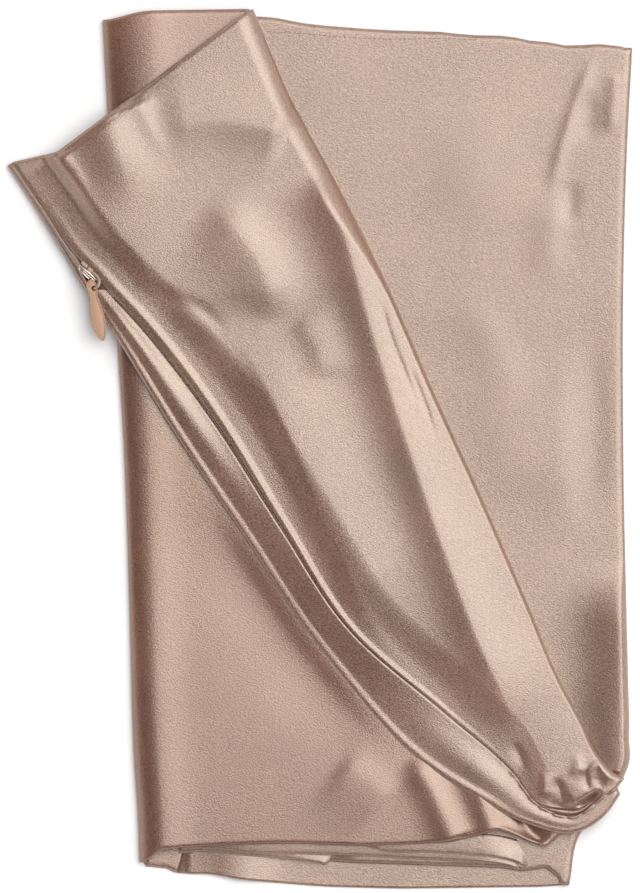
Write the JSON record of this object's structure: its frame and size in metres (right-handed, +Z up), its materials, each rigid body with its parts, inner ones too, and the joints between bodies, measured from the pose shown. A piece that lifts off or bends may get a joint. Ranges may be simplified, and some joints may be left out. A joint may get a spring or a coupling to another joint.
{
  "type": "folded satin pillowcase",
  "caption": "Satin bag pillowcase folded flat in layers, its zipped end turned back as a diagonal flap that gathers at one corner.",
  "frame": {"origin": "centre of the bounding box, on the face that rests on the surface", "axes": "+Z up from the surface, +Y towards the top hem, +X towards the right fold"},
  "size_m": [0.3573, 0.5012, 0.0185],
  "materials": {
    "satin": "smooth satin weave with a soft sheen",
    "zip_metal": "glossy lacquer over metal",
    "zip_enamel": "smooth satin enamel"
  },
  "bodies": {
    "root": {"pillowcase": "satin", "zip_slider": "zip_metal", "zip_pull": "zip_enamel"}
  },
  "joints": []
}
